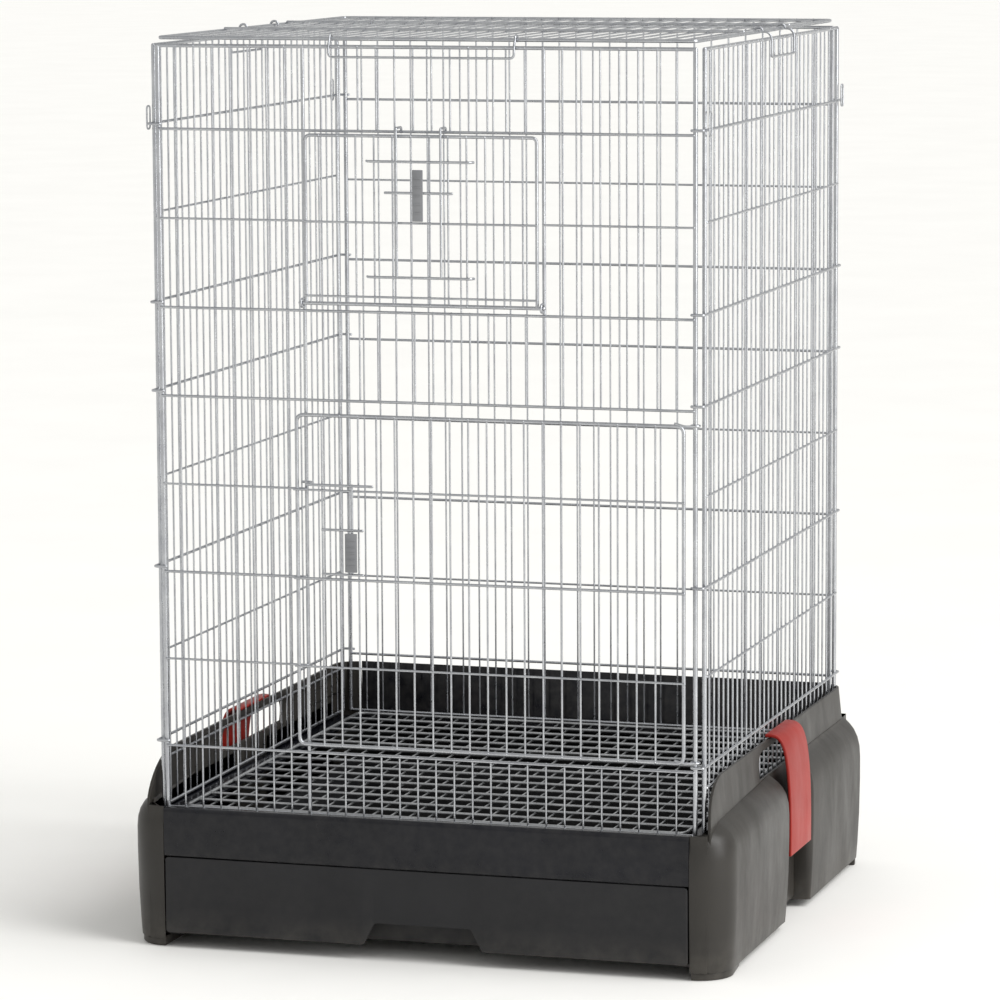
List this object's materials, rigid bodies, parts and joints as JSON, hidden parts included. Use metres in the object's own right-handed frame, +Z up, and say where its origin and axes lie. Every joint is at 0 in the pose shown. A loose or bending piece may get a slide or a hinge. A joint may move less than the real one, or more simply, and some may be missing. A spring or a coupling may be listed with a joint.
{
  "type": "wire rabbit cage",
  "caption": "Tall wire-grille pet cage on a moulded base with slide-out drawer, lift-out floor mesh, hinged roof, large side-hung door, small fold-down door and side clamp levers.",
  "frame": {"origin": "on the ground under the middle of the base", "axes": "+Z up, +Y towards the back, +X to the right seen from the front"},
  "size_m": [0.66, 0.64, 0.9674],
  "materials": {
    "wire": "zinc-plated wire, satin",
    "floor_wire": "galvanised mesh, dull",
    "front_rail": "glossy blue-black moulding",
    "side_moulding": "satin dark grey moulding",
    "drawer": "fine-grained charcoal moulding",
    "lever": "red moulding, satin gloss",
    "latch_tab": "grey moulding"
  },
  "bodies": {
    "base": {"base_side_left": "side_moulding", "base_side_right": "side_moulding", "base_front_rail": "front_rail", "base_back_wall": "front_rail", "lever_pin_left": "wire", "lever_pin_right": "wire"},
    "drawer": {"drawer_front": "drawer", "drawer_tray": "drawer"},
    "floor_grid": {"floor_mesh": "floor_wire"},
    "cage": {"front_panel_left": "wire", "front_panel_sill": "wire", "front_panel_middle": "wire", "front_panel_head": "wire", "front_panel_right": "wire", "front_hinge_post": "wire", "back_panel": "wire", "left_panel": "wire", "right_panel": "wire", "corner_loop_front_left": "wire", "corner_loop_front_right": "wire", "corner_loop_back_left": "wire", "corner_loop_back_right": "wire"},
    "roof": {"roof_panel": "wire"},
    "roof_bail_front": {"roof_bail_front": "wire"},
    "roof_bail_left": {"roof_bail_left": "wire"},
    "roof_bail_right": {"roof_bail_right": "wire"},
    "door_lower": {"door_lower": "wire", "door_lower_loop_bottom": "wire", "door_lower_loop_top": "wire"},
    "latch_lower": {"latch_lower_wire": "wire", "latch_lower_tab": "latch_tab"},
    "door_upper": {"door_upper": "wire"},
    "latch_upper": {"latch_upper_wire": "wire", "latch_upper_tab": "latch_tab"},
    "lever_left": {"lever_left": "lever"},
    "lever_right": {"lever_right": "lever"}
  },
  "joints": [
    {"name": "drawer_slide", "type": "slide", "parent": "base", "child": "drawer", "axis": [0, -1, 0], "range_m": [0, 0.45]},
    {"name": "floor_lift", "type": "slide", "parent": "base", "child": "floor_grid", "axis": [0, 0, 1], "range_m": [0, 0.06]},
    {"name": "cage_lift", "type": "slide", "parent": "base", "child": "cage", "axis": [0, 0, 1], "range_m": [0, 0.12]},
    {"name": "roof_hinge", "type": "hinge", "parent": "cage", "child": "roof", "pos_m": [0, 0.3, 0.9545], "axis": [-1, 0, 0], "range_deg": [0, 100]},
    {"name": "roof_bail_front_swing", "type": "hinge", "parent": "roof", "child": "roof_bail_front", "pos_m": [0, -0.296, 0.9625], "axis": [-1, 0, 0], "range_deg": [0, 150]},
    {"name": "roof_bail_left_swing", "type": "hinge", "parent": "roof", "child": "roof_bail_left", "pos_m": [-0.289, 0, 0.9625], "axis": [0, 1, 0], "range_deg": [0, 150]},
    {"name": "roof_bail_right_swing", "type": "hinge", "parent": "roof", "child": "roof_bail_right", "pos_m": [0.289, 0, 0.9625], "axis": [0, -1, 0], "range_deg": [0, 150]},
    {"name": "door_lower_hinge", "type": "hinge", "parent": "cage", "child": "door_lower", "pos_m": [0.289, -0.3, 0.4], "axis": [0, 0, 1], "range_deg": [0, 100]},
    {"name": "latch_lower_slide", "type": "slide", "parent": "door_lower", "child": "latch_lower", "axis": [1, 0, 0], "range_m": [0, 0.012]},
    {"name": "door_upper_hinge", "type": "hinge", "parent": "cage", "child": "door_upper", "pos_m": [0, -0.3085, 0.69], "axis": [1, 0, 0], "range_deg": [0, 120]},
    {"name": "latch_upper_slide", "type": "slide", "parent": "door_upper", "child": "latch_upper", "axis": [0, 0, 1], "range_m": [0, 0.012]},
    {"name": "lever_left_swing", "type": "hinge", "parent": "base", "child": "lever_left", "pos_m": [-0.322, 0, 0.084], "axis": [0, -1, 0], "range_deg": [0, 95]},
    {"name": "lever_right_swing", "type": "hinge", "parent": "base", "child": "lever_right", "pos_m": [0.322, 0, 0.084], "axis": [0, 1, 0], "range_deg": [0, 95]}
  ]
}
